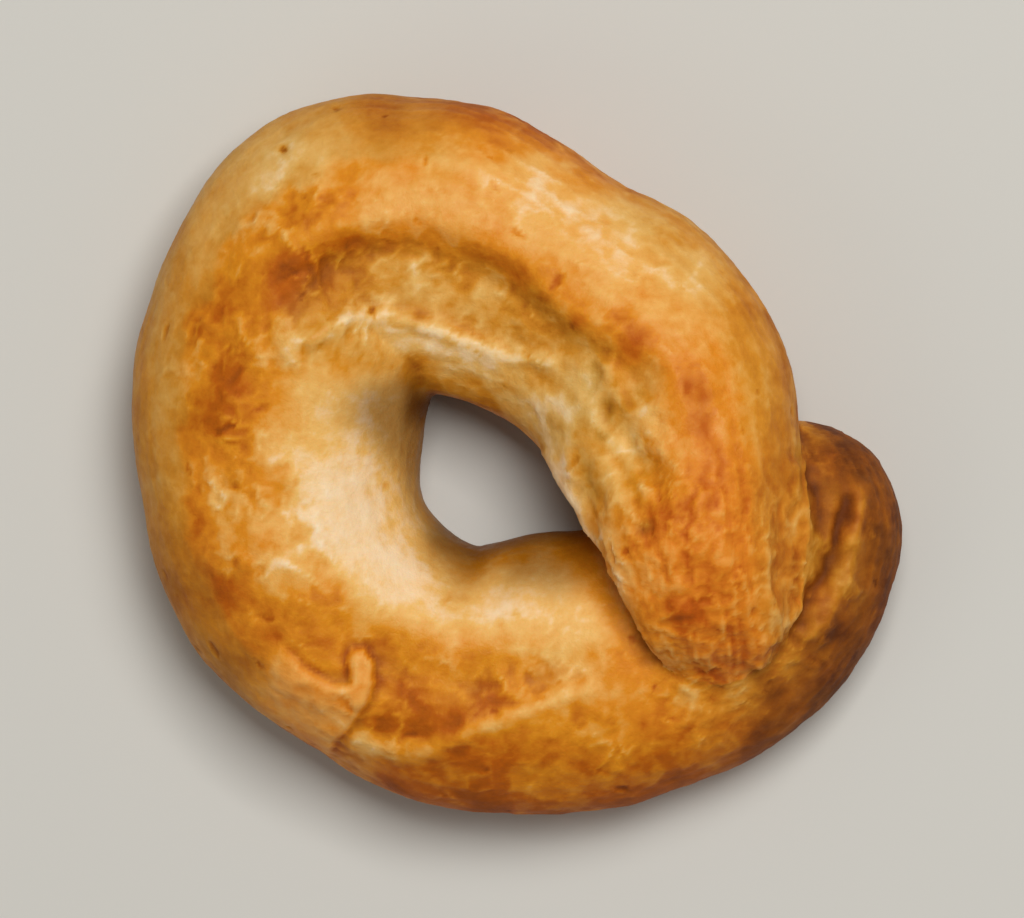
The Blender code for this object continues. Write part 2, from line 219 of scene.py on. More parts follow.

# Places darker or paler than their surroundings, from browning, painted shade and painted highlights: x,
# y, reach, and how much
BROWNING_AND_PAINTED_LIGHT_SPOTS = (
    (-12.2, 9.5, 0.9, 0.3), (-9.1, 10.4, 0.9, 0.12), (-10.2, 9, 1, 0.18),
    (-13.1, 10.5, 1, -0.12), (-13.2, 12.9, 1.2, -0.08), (-6.9, 12, 1.2, -0.1),
    (-14.3, 2, 1.9, 0.12), (-13.6, 6.2, 1, -0.08), (3.1, 6.7, 0.6, 0.14),
    (6.3, 5.6, 0.7, 0.2), (5.4, 6.8, 0.9, 0.14), (4.3, 7.1, 0.9, -0.14),
    (7.2, 2.9, 0.9, -0.2), (2.1, 2.3, 1, -0.34), (0.8, 4, 0.8, -0.12),
    (-2, 10.8, 1.1, 0.06), (-0.8, 9.8, 1.1, 0.08), (0.6, 9.2, 0.9, 0.08),
    (9.2, 8.2, 1.4, -0.12), (2, 9.8, 1.2, 0.1), (8.6, -3.4, 0.9, 0.22),
    (3.3, 3.3, 1, -0.12), (4.7, -4.6, 0.9, -0.16), (7.2, -6, 1, 0.08),
    (3.6, -0.6, 1.2, 0.1), (-15.3, -3.3, 1.4, -0.1), (-15.4, 6.2, 1.2, 0.08),
    (-13.2, -9.6, 1.8, 0.08), (11.8, -14.6, 1.4, 0.1), (1.4, -9.4, 0.9, 0.1),
    (4.4, -11, 1, 0.08), (-9.4, 0.3, 1.3, 0.06), (16.2, -3.1, 0.8, 0.12),
    (14.7, -12.3, 1.2, -0.08), (-9, 6.1, 1.2, -0.09), (5.4, -6.4, 1.1, -0.12),
    (-12.2, 12.4, 1.4, -0.05), (-1.6, -15.4, 1.8, 0.07), (9.2, 3, 1.4, 0.06),
    (6.2, 3, 1.2, 0.06), (2.75, -0.9, 0.5, -0.14), (-14.4, 4.8, 1.1, 0.08),
    (-17.4, -4.6, 1.4, 0.1), (18.9, -6.6, 1.8, 0.12), (11.7, 7.4, 1.6, 0.1),
    (7.3, -1.3, 0.9, -0.12), (-2.3, 4.5, 1, -0.1), (14, -6.9, 1.2, -0.16),
    (-16.2, -2.6, 1.2, -0.14), (-11.8, 7.3, 0.9, 0.18), (-14.2, 9.3, 0.9, 0.1),
    (8.3, 0.3, 1.2, -0.18), (16.5, -0.9, 1.5, 0.26), (18.4, -3.7, 1.2, 0.1),
    (-3.8, 4.4, 1.2, -0.15), (-10.2, 7.8, 1, 0.12), (-11.5, -6.5, 1.6, -0.14),
    (-8.2, -8.8, 1.2, -0.08), (-13.8, -4.8, 1.2, -0.08), (-3.6, -15.4, 0.9, 0.12),
    (-3.4, -11.5, 1.2, -0.1), (11.8, -12.9, 1.4, -0.2), (-14.5, -11.2, 2, 0.1),
    (-3, -18.4, 1.6, 0.14), (-9, 2.6, 2, 0.12), (-5.1, 7, 0.45, 0.22),
    (-2.6, 8.6, 0.5, 0.22), (-5.3, 9.2, 1.4, -0.14), (9.4, 3.4, 1.1, 0.08),
    (9.8, 1.6, 0.9, 0.1), (10.5, 1.1, 0.4, -0.2), (6.7, 1.4, 1, -0.16),
    (-7.2, -16, 1.1, -0.16), (-4.9, -16, 0.9, -0.1), (-6, -17.8, 1.6, 0.14),
    (-5.4, -12.8, 1, 0.12), (3.5, -15.2, 1.6, 0.08), (4.2, -13.2, 1.4, -0.08),
    (8.7, -12.9, 1.5, -0.16), (-10.4, -10.5, 0.9, 0.16), (-7, -14.5, 0.8, 0.24),
    (-5.2, -14.4, 0.8, 0.24), (-3.4, -14, 0.8, 0.2), (-1.8, -13.5, 0.7, 0.14),
    (0.6, -11.3, 2.1, -0.12), (3.2, -11.3, 1.3, -0.08), (-7, -10, 0.7, 0.16),
    (-9.8, -8, 1.6, 0.12), (8.9, -8.4, 1.5, 0.12), (6.6, -3.9, 1.1, 0.14),
    (-7.2, 17.2, 1.7, 0.16), (-11.2, 15.1, 1.4, -0.12), (-9.2, 15, 1.4, -0.1),
    (-12.6, 13.6, 1, -0.12), (-15.6, 9.6, 1, -0.08), (16.6, -9.4, 0.7, 0.22),
    (13.4, -12.4, 0.8, 0.2), (14.9, -4.6, 1.5, -0.16), (17.2, -6.4, 1.6, -0.12),
    (13.9, -8.8, 1.2, -0.16), (-12.8, 0.2, 1.2, -0.12), (-11.2, -3.2, 1, -0.12),
    (-16.6, -7.2, 2, 0.18), (-12.5, -5, 2, -0.08), (-11.9, -13.4, 0.9, 0.16),
    (-11.6, -12.3, 0.5, -0.16), (-8.9, -11.7, 0.45, 0.25), (4.4, 12, 3.2, -0.1),
    (0.8, 15, 1.8, -0.18), (-2.8, 11.9, 1.1, -0.08), (10, 9.2, 1.5, -0.08),
    (7.5, -11.5, 1.1, -0.12), (-9, -13.8, 0.8, -0.12), (3.2, -9.2, 1.1, 0.07),
    (-3.2, -9, 1.3, 0.07),
)
DARK_PITS = ((-12.2, 15.6, 0.2), (-7.6, 7.2, 0.18))  # x, y, reach

# The smeared flake, in millimetres from its free edge
FLAP_HEIGHT, FLAP_REAR_HEIGHT = 0.34, 0.12  # thickness beside the edge, and behind
FLAP_STEP = 0.4  # width over which its edge rises
FLAP_THINS, FLAP_ENDS = (0.6, 3.0), (1.8, 4.8)
FLAP_GROWTH = 3.0  # from its root
FLAP_STRIP, FLAP_STRIP_DEPTH = 0.6, 0.05  # the sunk strip beside it
FLAP_FADES = (-15.4, -12.4)  # y between which its lower end fades
FLAP_FADED = 0.3

# Half widths and heights of what is drawn along a line, in millimetres
RIM, RIDGE, TAIL_FOLD, SOFT_FOLD = (0.55, 0.22), (0.45, 0.36), (0.6, 0.42), (0.4, 0.2)
CREASE_WIDTH = 0.42
RIDGE_LOOK = 0.8  # half width over which the ridge's painted highlight and gloss reach
LIP, LIP_ANGLE, LIP_PLACE = 0.34, (168, 8), (10.2, 11.3, 0.5)  # low lip along the hole's right edge
OVAL_FADES = {"dent": (0.15, 1.2), "swelling": (0.1, 1.2), "lens": (0.4, 1.3)}  # 1 is the oval's edge
SWELLING_HEIGHT, LENS_HEIGHT = 0.34, 0.12
DARK_PIT_STEEPNESS = 0.9

# Random fields over the crust: size of their features in millimetres, and seed
SWAY, BEND, ZONE_EDGES, LIP_SWAY = (0.9, 90), (1.9, 60), (2.6, 5), (1.5, 94)
FLAP_UNEVEN, FOLD_UNEVEN = (1.5, 84), (0.9, 97)
ROUGH_AREAS, TERRACES = (4.4, 3), (2.6, 47)
WISPS, FINE_WISPS = (1.5, 33), (0.8, 34)
WRINKLES, RIDGE_WRINKLES, SKIN_WRINKLES = (1.1, 41), (0.7, 45), (0.7, 56)
BROWN_ANGLES, BROWN_STATIONS = (2.2, 181), (3.0, 191)
BROWN_PATCHES, BROWN_ISLANDS, MOTTLE, STREAKS = (4.2, 101), (2.4, 111), (1.3, 131), (0.9, 151)
WARM_AREAS, DULL_AREAS = (3.0, 171), (2.0, 201)
# The same for patches, with the values between which a patch sets in
WISP_AREAS, FINE_WISP_AREAS = (1.6, 37, -0.35, 0.35), (1.1, 39, -0.3, 0.4)
BLISTERS, PITS = (1.3, 21, 0.05, 0.65), (1.0, 71, 0.66, 0.86)
LONG_WAY = (0.2, 1.0, 1.0)  # draws a field out along the rope
# How far the drawn lines, the fields and the drawn-out fields are bent, in millimetres
SWAY_REACH, BEND_REACH, LONG_BEND_REACH = 0.2, 0.55, 0.35

# Heights of the fine relief, in millimetres, and what the parts of the surface change in it
WISP, FINE_WISP, BLISTER, TERRACE, PIT = 0.14, 0.07, 0.11, 0.16, 0.08
TERRACE_STEPS = 3.2  # terraces for each unit of their noise
WRINKLE, RIDGE_WRINKLE, SKIN_WRINKLE = 0.04, 0.12, 0.02
WRINKLED = {"tail": 0.01, "roll": 0.03, "end": 0.06}
SMOOTH = {"funnel": 0.8, "tan": 0.6, "roll": 0.55}
FOOT_FLATTENED = 0.85

# What the parts of the surface add to the browning, with painted shade in the tail's creases and the lip
# and rim paler, partly their own colour and partly a painted highlight, and how much they even it out
BROWNING_AND_PAINTED_LIGHT = {
    "crease": 0.7, "dent_bake": 1, "flank": 0.06, "glow": 0.02,
    "lip": -0.16, "lens": -0.1, "rim": -0.16,
}
EVEN = {"funnel": 0.6, "tan": 0.5, "roll": 0.4, "tail": 0.3}
# What the random fields add, the paler wisps, wrinkles and folds, and the painted highlight along the
# shelf's ridge
PATCHES_BROWN, ISLANDS_BROWN, MOTTLE_BROWN, STREAKS_BROWN = 0.08, 0.11, 0.11, 0.04
WISPS_PALE, FINE_WISPS_PALE, WRINKLES_PALE, RIDGE_PAINTED_HIGHLIGHT, FOLDS_PALE = 0.10, 0.06, 0.12, 0.14, 0.03
# Browner pits, two dark pores, and from each point's depth painted shade in small hollows and a painted
# highlight on small rises
PITS_BROWN, DARK_PITS_BROWN, CAVITY_PAINTED_LIGHT = 0.1, 0.5, 1.8
SPOTS_UNEVEN = 0.35  # how far the mottling frays the spots of browning and painted light
# Two places that have a browning of their own, the painted shadow under the upper end and the flake: how
# far they take it, and the browning
UNDER_END_PAINTED_SHADOW, FLAP_BROWNING = (0.8, 0.56), (0.8, 0.27)
# What the parts of the surface add to how warm, dull and glossy the crust is; the dulling of the smooth
# left side, the shelf, the tail and the flank is painted shade
WARM = {
    "end": 0.58, "roll": 0.2, "shelf": -0.3, "funnel": -0.3, "veined": -0.3,
    "glow": 0.2, "flank": -0.2, "tail": 0.3, "flake": 0.6,
}
DULL_AND_SHADED = {
    "tan": 0.45, "shelf": 0.4, "tail": 0.6, "veined": 0.4,
    "dent": 0.5, "flake": -0.4, "flank": 0.3, "glow": -0.2,
}
GLOSS = {"roll": 0.5, "ridge": 0.8, "funnel": 0.5, "lens": 0.4}
# Where the painted shade in creases is lighter, and by what share
LESS_SHADED_CREASES = {"veined": 0.7, "shelf": 0.5, "sealed": 0.8, "dent": 0.7}

# How far the crust has browned round the rope at some of the stations: angles, and the browning there,
# 0 for pale dough and 1 for dark brown; the darker values on the tail and on the hole's walls hold
# painted shade
BROWNING_AND_SHADE = (
    (1.4, ((-90, 0.72), (0, 0.96), (22, 0.92), (42, 0.8),
        (60, 0.68), (90, 0.62), (140, 0.6), (270, 0.62))),
    (2.6, ((-90, 0.6), (0, 0.74), (45, 0.6), (66, 0.53), (84, 0.5), (98, 0.46),
        (108, 0.22), (120, 0.15), (134, 0.26), (150, 0.42), (190, 0.5), (270, 0.5))),
    (3.6, ((-90, 0.6), (-10, 0.8), (30, 0.68), (64, 0.58), (72, 0.44), (80, 0.62), (106, 0.6),
        (114, 0.42), (124, 0.16), (138, 0.27), (150, 0.4), (190, 0.5), (270, 0.5))),
    (5.0, ((-90, 0.58), (-10, 0.58), (48, 0.46), (60, 0.5), (84, 0.49), (100, 0.38),
        (110, 0.18), (130, 0.1), (160, 0.24), (190, 0.4), (270, 0.5))),
    (6.4, ((-90, 0.58), (-10, 0.5), (48, 0.44), (56, 0.56), (78, 0.57), (86, 0.45), (98, 0.38),
        (110, 0.16), (128, 0.12), (144, 0.2), (160, 0.3), (190, 0.46), (270, 0.5))),
    (6.8, ((-90, 0.58), (-10, 0.46), (44, 0.4), (56, 0.56), (80, 0.56), (92, 0.5),
        (112, 0.44), (128, 0.42), (150, 0.52), (180, 0.58), (270, 0.56))),
    (7.4, ((-90, 0.58), (0, 0.4), (40, 0.32), (56, 0.53), (84, 0.61), (100, 0.58), (112, 0.45),
        (124, 0.38), (131, 0.27), (137, 0.36), (145, 0.52), (180, 0.6), (270, 0.58))),
    (8.3, ((-90, 0.6), (0, 0.7), (14, 0.72), (36, 0.54), (48, 0.36), (68, 0.34),
        (78, 0.42), (88, 0.48), (98, 0.42), (120, 0.38), (129, 0.3), (133, 0.24),
        (138, 0.36), (145, 0.54), (180, 0.62), (270, 0.58))),
    (9.5, ((-90, 0.6), (0, 0.5), (20, 0.38), (45, 0.27), (64, 0.32), (76, 0.46), (90, 0.6),
        (99, 0.46), (126, 0.44), (144, 0.41), (154, 0.43), (164, 0.46), (176, 0.62), (270, 0.6))),
    (10.6, ((-90, 0.6), (0, 0.52), (40, 0.42), (70, 0.48), (92, 0.5), (102, 0.4),
        (140, 0.36), (154, 0.25), (168, 0.24), (190, 0.46), (270, 0.5))),
    (11.6, ((-90, 0.62), (0, 0.6), (40, 0.54), (90, 0.55),
        (144, 0.49), (160, 0.42), (184, 0.68), (270, 0.7))),
)

NOISE_CELLS = 256
NOISE_GAIN = 1.7  # brings the noise to about -1 to 1


def smooth_step(value, low, high):
    """0 below low, 1 above high, and an even curve between them."""
    share = np.clip((value - low) / (high - low), 0.0, 1.0)
    return share * share * (3.0 - 2.0 * share)


def band(value, start, end, blend):
    """1 between start and end, fading to 0 over blend on both sides."""
    return smooth_step(value, start - blend, start) * (1.0 - smooth_step(value, end, end + blend))


def bump(value, middle, width):
    """A rounded ridge, 1 at its middle and close to 0 two widths away."""
    return np.exp(-(((value - middle) / width) ** 2))


def make_noise():
    """A function of points and a seed that gives a smooth random field over cells of size 1."""
    draw = np.random.default_rng(7)
    order = draw.permutation(NOISE_CELLS)
    gradients = draw.normal(size=(NOISE_CELLS, 3))
    gradients /= np.linalg.norm(gradients, axis=1)[:, None]

    def field(points, seed):
        cell = np.floor(points).astype(np.int64)
        inside = points - cell
        ease = inside**3 * (inside * (inside * 6 - 15) + 10)
        total = np.zeros(len(points))
        for corner in np.ndindex(2, 2, 2):
            x, y, z = (cell + corner).T
            key = order[(order[(order[(x + seed) % NOISE_CELLS] + y) % NOISE_CELLS] + z) % NOISE_CELLS]
            share = np.where(corner, ease, 1.0 - ease).prod(axis=1)
            total += share * (gradients[key] * (inside - corner)).sum(axis=1)
        return NOISE_GAIN * total

    return field


random_field = make_noise()


def layered(points, size, seed, layers=3):
    """Noise of the given size, in millimetres as the points are, with finer, weaker layers on it."""
    total = 0.0
    for i in range(layers):
        total = total + random_field(points * 2**i / size + 11.3 * i, seed + i) / 2**i
    return total / 1.4


def patches(points, size, seed, low, high):
    """Random patches, 0 where the noise is under low and 1 where it is over high."""
    return smooth_step(random_field(points / size, seed), low, high)


def ridged(points, size, seed):
    """1 on a net of thin lines and lower between them."""
    return 1.0 - np.abs(random_field(points / size, seed))


def along_stations(at):
    """The station values at places given as station numbers, on a natural cubic spline."""
    values = np.array(STATIONS) * MM
    inner = len(values) - 2
    system = 4 * np.eye(inner) + np.eye(inner, k=1) + np.eye(inner, k=-1)
    bend = np.zeros_like(values)
    bend[1:-1] = np.linalg.solve(system, values[2:] - 2 * values[1:-1] + values[:-2])
    first = np.clip(np.floor(at).astype(int), 0, inner)
    t = (at - first)[:, None]
    s = 1.0 - t
    line = s * values[first] + t * values[first + 1]
    return line + (s**3 - s) * bend[first] + (t**3 - t) * bend[first + 1]


def from_line(places, line):
    """Distance of x, y places from a line of straight stretches."""
    corners = np.array(line)
    nearest = np.full(len(places), np.inf)
    for start, end in zip(corners, corners[1:]):
        run = end - start
        share = np.clip((places - start) @ run / (run @ run), 0.0, 1.0)
        gap = np.linalg.norm(places - start - share[:, None] * run, axis=1)
        nearest = np.minimum(nearest, gap)
    return nearest


def inside(places, outline):
    """Which x, y places lie inside a closed outline."""
    x, y = places.T
    within = np.zeros(len(places), dtype=bool)
    corners = np.array(outline)
    for (x0, y0), (x1, y1) in zip(corners, np.roll(corners, -1, axis=0)):
        crosses = (y0 > y) != (y1 > y)
        within ^= crosses & (x < x0 + (y - y0) * (x1 - x0) / (y1 - y0 + 1e-9))
    return within


def browning_and_shade(station, angle):
    """How far the crust has browned at each station and angle, with its painted shade, blended between
    the profiles.
    """
    rows = np.array([np.interp(angle, *zip(*profile)) for _, profile in BROWNING_AND_SHADE])
    at = np.interp(station, [place for place, _ in BROWNING_AND_SHADE], range(len(BROWNING_AND_SHADE)))
    first = np.minimum(at.astype(int), len(BROWNING_AND_SHADE) - 2)
    share = smooth_step(at - first, 0.0, 1.0)
    index = np.arange(len(station))
    return rows[first, index] * (1 - share) + rows[first + 1, index] * share


def rounded_end(distance, reach):
    """Share of its full size that a section has, this far from an end that rounds off over reach."""
    share = np.clip(1.0 - distance / reach, 0.0, 1.0)
    return np.sqrt(1.0 - share**2)


def fold(station, around):
    """The far side's fold: a step down from the crest to a sunk shelf, which rises again at the hole."""
    crest = FOLD_CREST + FOLD_SWING * bump(station, *SWING_PLACE)
    shelf = smooth_step(around, crest - FOLD_ROUND, crest + FOLD_STEP)
    for start, end, share in SHELF_RISES:
        shelf -= share * smooth_step(around, start, end)
    return -FOLD * shelf * smooth_step(station, *FOLD_STARTS) * (1 - smooth_step(station, *FOLD_ENDS))


def hollow(station, around):
    """The wrinkled dent on the inner side of the strand that climbs to the crossing."""
    return -HOLLOW * bump(station, *HOLLOW_PLACE) * bump(around, *HOLLOW_ANGLE)


def shoulder(station, around):
    """The fuller inner side of the strand that climbs to the crossing, with its bulge in the hole."""
    fuller = SHOULDER * smooth_step(station, *SHOULDER_PLACE) * bump(around, *SHOULDER_ANGLE)
    return fuller + BULGE * bump(station, *BULGE_PLACE) * bump(around, *BULGE_ANGLE)


def groove(station, around):
    """The shallow groove along the near side of the crest."""
    return -GROOVE * band(station, *GROOVE_PLACE) * bump(around, *GROOVE_ANGLE)


def lumps(point):
    """How far the uneven surface stands out at a point."""
    return sum(
        height * noise.noise(Vector(point) / size + LUMP_ORIGIN * (1 + i))
        for i, (size, height) in enumerate(LUMPS)
    )


def above_tray(height):
    """Height over the tray after the soft dough has settled on it."""
    share = np.clip(0.5 + 0.5 * height / FOOT_BLEND, 0.0, 1.0)
    return height * share + FOOT_BLEND * share * (1.0 - share)


class Rope:
    """The rope's sections: where each lies, how it is turned and how large it is."""

    def __init__(self):
        fine = np.linspace(0, len(STATIONS) - 1, FINE_STEPS * len(STATIONS))
        steps = np.linalg.norm(np.diff(along_stations(fine)[:, :3], axis=0), axis=1)
        travelled = np.concatenate(([0.0], np.cumsum(steps)))
        even = np.linspace(0, 1, RINGS)
        crowded = 0.5 - 0.5 * np.cos(math.pi * even)
        self.distance = travelled[-1] * (CROWDING * crowded + (1 - CROWDING) * even)
        self.station = np.interp(self.distance, travelled, fine)
        x, y, lift, width, height = along_stations(self.station).T
        size = rounded_end(self.distance, TAIL_ROUND)
        size = size * rounded_end(travelled[-1] - self.distance, TIP_ROUND)
        self.size = np.maximum(size, LEAST_SIZE)
        self.half_width = width / 2
        self.half_height = height / 2
        self.middle = np.stack((x, y, lift + height / 2), axis=1)
        forward = np.gradient(self.middle, axis=0)
        self.forward = forward / np.linalg.norm(forward, axis=1)[:, None]
        outward = np.stack((-forward[:, 1], forward[:, 0], np.zeros(RINGS)), axis=1)
        self.outward = outward / np.linalg.norm(outward, axis=1)[:, None]
        upward = np.cross(self.outward, self.forward)
        self.upward = upward * np.sign(upward[:, 2:])

    def surface(self):
        """Points of the rope's surface, section by section."""
        around = np.linspace(0, 360, SIDES, endpoint=False)
        turn = np.radians(around)
        station, around = np.meshgrid(self.station, around, indexing="ij")
        relief = sum(mark(station, around) for mark in (fold, hollow, shoulder, groove))
        half_width = self.size[:, None] * (self.half_width[:, None] + relief) * np.cos(turn)
        half_height = self.size[:, None] * (self.half_height[:, None] + relief) * np.sin(turn)
        points = self.middle[:, None] + self.outward[:, None] * half_width[:, :, None]
        points = points + self.upward[:, None] * half_height[:, :, None]
        along = np.gradient(points, axis=0)
        across = np.roll(points, -1, axis=1) - np.roll(points, 1, axis=1)
        normal = np.cross(along, across)
        normal /= np.linalg.norm(normal, axis=2)[:, :, None]
        out = points - self.middle[:, None]
        normal *= np.sign((normal * out).sum(axis=2))[:, :, None]
        flat = points.reshape(-1, 3)
        height = np.array([lumps(point) for point in flat]).reshape(RINGS, SIDES, 1)
        points = points + normal * height
        points[:, :, 2] = above_tray(points[:, :, 2])
        return points

    def place(self, points, nearest):
        """Station, distance along and angle round the rope of points, from their nearest sections."""
        out = points - self.middle[nearest]
        along = (out * self.forward[nearest]).sum(axis=1)
        distance = self.distance[nearest] + along
        station = np.interp(distance, self.distance, self.station)
        side = (out * self.outward[nearest]).sum(axis=1) / self.half_width[nearest]
        rise = (out * self.upward[nearest]).sum(axis=1) / self.half_height[nearest]
        around = np.degrees(np.arctan2(rise, side)) % 360
        return station, distance / MM, around


def lofted(points):
    """A closed mesh over the rope's sections, its crossing strands still passing through each other."""
    number = np.arange(RINGS * SIDES).reshape(RINGS, SIDES)
    following = np.roll(number, -1, axis=1)
    quads = np.stack((number[:-1], following[:-1], following[1:], number[1:]), axis=2).reshape(-1, 4)
    faces = quads.tolist() + [number[0][::-1].tolist(), number[-1].tolist()]
    mesh = bpy.data.meshes.new("rope")
    mesh.from_pydata(points.reshape(-1, 3), [], faces)
    return mesh


def fused(mesh):
    """One closed skin round the rope, with the crossing strands grown together."""
    rope = bpy.data.objects.new("rope", mesh)
    bpy.context.scene.collection.objects.link(rope)
    remesh = rope.modifiers.new("fuse", "REMESH")
    remesh.mode = "VOXEL"
    remesh.voxel_size = VOXEL
    ease = rope.modifiers.new("ease", "SMOOTH")
    ease.factor = 0.5
    ease.iterations = 3
    graph = bpy.context.evaluated_depsgraph_get()
    skin = bpy.data.meshes.new_from_object(rope.evaluated_get(graph))
    bpy.data.objects.remove(rope)
    return skin


def read_vectors(items, field):
    """A field of three numbers for each of a mesh's items, as an array."""
    values = np.empty(3 * len(items))
    items.foreach_get(field, values)
    return values.reshape(-1, 3)


def nearest_sections(points, surface):
    """For each point the number of the rope's section whose surface lies closest."""
    tree = kdtree.KDTree(len(surface))
    for i, point in enumerate(surface):
        tree.insert(point, i)
    tree.balance()
    return np.array([tree.find(point)[1] for point in points]) // SIDES


def relaxed(mesh, values, rounds):
    """The values of a mesh's points, each moved halfway to its neighbours' mean in every round."""
    edges = np.empty(2 * len(mesh.edges), dtype=np.int64)
    mesh.edges.foreach_get("vertices", edges)
    start, end = edges.reshape(-1, 2).T
    count = np.bincount(start, minlength=len(values)) + np.bincount(end, minlength=len(values))
    eased = values.copy()
    for _ in range(rounds):
        total = np.zeros_like(eased)
        for column in range(values.shape[1]):
            total[:, column] = np.bincount(start, eased[end, column], len(values))
            total[:, column] += np.bincount(end, eased[start, column], len(values))
        eased = 0.5 * eased + 0.5 * total / count[:, None]
    return eased


class Crust:
    """The fine skin, and for each of its points the place on the rope and the zones it belongs to."""

    def __init__(self):
        rope = Rope()
        surface = rope.surface()
        self.mesh = fused(lofted(surface))
        self.points = read_vectors(self.mesh.vertices, "co")
        nearest = nearest_sections(self.points, surface.reshape(-1, 3))
        self.station, travelled, self.around = rope.place(self.points, nearest)
        self.look()
        self.seal_end()
        self.look()
        turn = np.radians(self.around)
        self.unrolled = np.stack(
            (travelled, ROPE_RADIUS * np.cos(turn), ROPE_RADIUS * np.sin(turn)), axis=1
        )
        self.zones()

    def look(self):
        """Takes the mesh's points as they are now, in millimetres and as the camera sees them."""
        self.mesh.vertices.foreach_set("co", self.points.ravel())
        self.mesh.update()
        self.normals = read_vectors(self.mesh.vertices, "normal")
        self.spot = self.points / MM
        lean = math.tan(math.radians(CAMERA_TILT))
        turn = math.radians(CAMERA_TURN)
        rise = (self.spot[:, 2:] - SEEN_HEIGHT) * lean
        self.seen = self.spot[:, :2] - rise * (math.cos(turn), math.sin(turn))

    def near(self, x, y, reach, uneven=1.0):
        """1 at a place seen from above, and fading over its reach, in millimetres."""
        distance = np.hypot(self.seen[:, 0] - x, self.seen[:, 1] - y)
        return bump(distance * uneven, 0.0, reach)

    def seal_end(self):
        """Softens the crease where the upper end was pressed into the strand below it."""
        share = np.max([self.near(*seal) for seal in SEALS], axis=0)
        share = share * smooth_step(self.spot[:, 2], *SEAL_HEIGHTS)
        self.points += share[:, None] * (relaxed(self.mesh, self.points, SEAL_ROUNDS) - self.points)

    def zones(self):
        """The parts of the surface that are shaped or baked in their own way, and the painted shade of
        the hole's wall, each from 0 to 1.
        """
        station = self.station
        self.angle = (self.around + 90) % 360 - 90
        angle = self.angle + 8 * layered(self.spot, *ZONE_EDGES)

        def zone(stations, angles):
            return band(station, *stations) * band(angle, *angles)

        self.top = smooth_step(self.normals[:, 2], *TOP_SLOPES)
        self.funnel = zone(*FUNNEL)
        self.shelf = zone(*SHELF)
        self.roll = zone(*ROLL)
        self.tan = zone(*SMOOTH_SHADED_SIDE)
        self.flank = zone(*FLANK)
        self.glow = zone(*GLOW)
        self.crest = band(angle, *CREST)
        self.veined = bump(station, *VEINED_PLACE) * bump(angle, *VEINED_ANGLE)
        self.end = smooth_step(station, *END_STARTS) * (1 - 0.9 * self.veined)
        self.tail = 1 - smooth_step(station, *TAIL_ENDS)
        self.foot = 1 - smooth_step(self.points[:, 2], *FOOT_HEIGHTS)
        # Painted shade on the hole's wall, deepest at its corners and beside the crossing, eased over the
        # mesh
        wall_top = WALL_ANGLE - sum(lower * bump(station, *corner) for *corner, lower in WALL_CORNERS)
        *lit, share = LIGHT_WALL
        wall = band(angle, wall_top, WALL_END, WALL_FADE) * (1 - share * smooth_step(station, *lit))
        corner = band(angle, *CORNER_ANGLE) * bump(station, *CORNER_PLACE)
        deep = np.maximum(NEAR_SHADE * zone(*NEAR_DEEP), corner)
        *pale, share = LESS_SHADED_LEFT_WALL
        shade = np.maximum(WALL_SHADE * np.maximum(wall, zone(*NEAR_WALL)), deep)
        shade *= 1 - share * bump(station, *pale)
        self.hole = relaxed(self.mesh, shade[:, None], SHADE_ROUNDS)[:, 0]
        size, seed = SWAY
        sway = np.stack([random_field(self.spot / size, seed + i) for i in range(2)], axis=1)
        self.wavy = self.seen + SWAY_REACH * sway

    def weighed(self, weights):
        """The sum of the parts of the surface that are named, each times its weight."""
        return sum(weight * getattr(self, name) for name, weight in weights.items())

    def lessened(self, values, shares):
        """The values, lessened by its share in each part that is named."""
        for name, share in shares.items():
            values = values * (1 - share * getattr(self, name))
        return values

    def flap(self):
        """The smeared flake: a thin layer that ends in a hooked edge, with a sunk strip beside it."""
        places = 0.5 * self.seen + 0.5 * self.wavy
        distance = from_line(places, FLAP_EDGE + FLAP_ROOT[:1])
        from_root = from_line(places, (FLAP_ROOT[-1], FLAP_EDGE[0]))
        layer = inside(places, FLAP_EDGE + FLAP_ROOT) * smooth_step(from_root, 0.0, FLAP_GROWTH)
        shown = smooth_step(self.normals[:, 2], 0.15, 0.6) * (self.station < LOWER_STRAND + 1)
        edge = smooth_step(distance, 0.0, FLAP_STEP) * shown
        uneven = 1 + 0.4 * layered(self.spot, *FLAP_UNEVEN, 2)
        self.flake = layer * (1 - smooth_step(distance, *FLAP_ENDS)) * edge
        firm = FLAP_FADED + (1 - FLAP_FADED) * smooth_step(self.seen[:, 1], *FLAP_FADES)
        self.beside = (1 - layer) * (1 - smooth_step(distance, 0.0, FLAP_STRIP)) * shown * firm
        thick = layer * (1 - smooth_step(distance, *FLAP_THINS)) * edge * firm
        height = uneven * (FLAP_HEIGHT * thick + FLAP_REAR_HEIGHT * self.flake)
        return height - FLAP_STRIP_DEPTH * self.beside

    def oval(self, x, y, length, width, turn):
        """Distance of each point from the middle of an oval seen from above, 1 on its edge."""
        angle = math.radians(turn)
        out = self.wavy - (x, y)
        along = out @ (math.cos(angle), math.sin(angle)) / length
        across = out @ (-math.sin(angle), math.cos(angle)) / width
        return np.hypot(along, across)

    def along(self, lines, width):
        """1 on the lines, seen from above, and fading over their half width."""
        return np.max([bump(from_line(self.wavy, line), 0.0, width) for line in lines], axis=0)

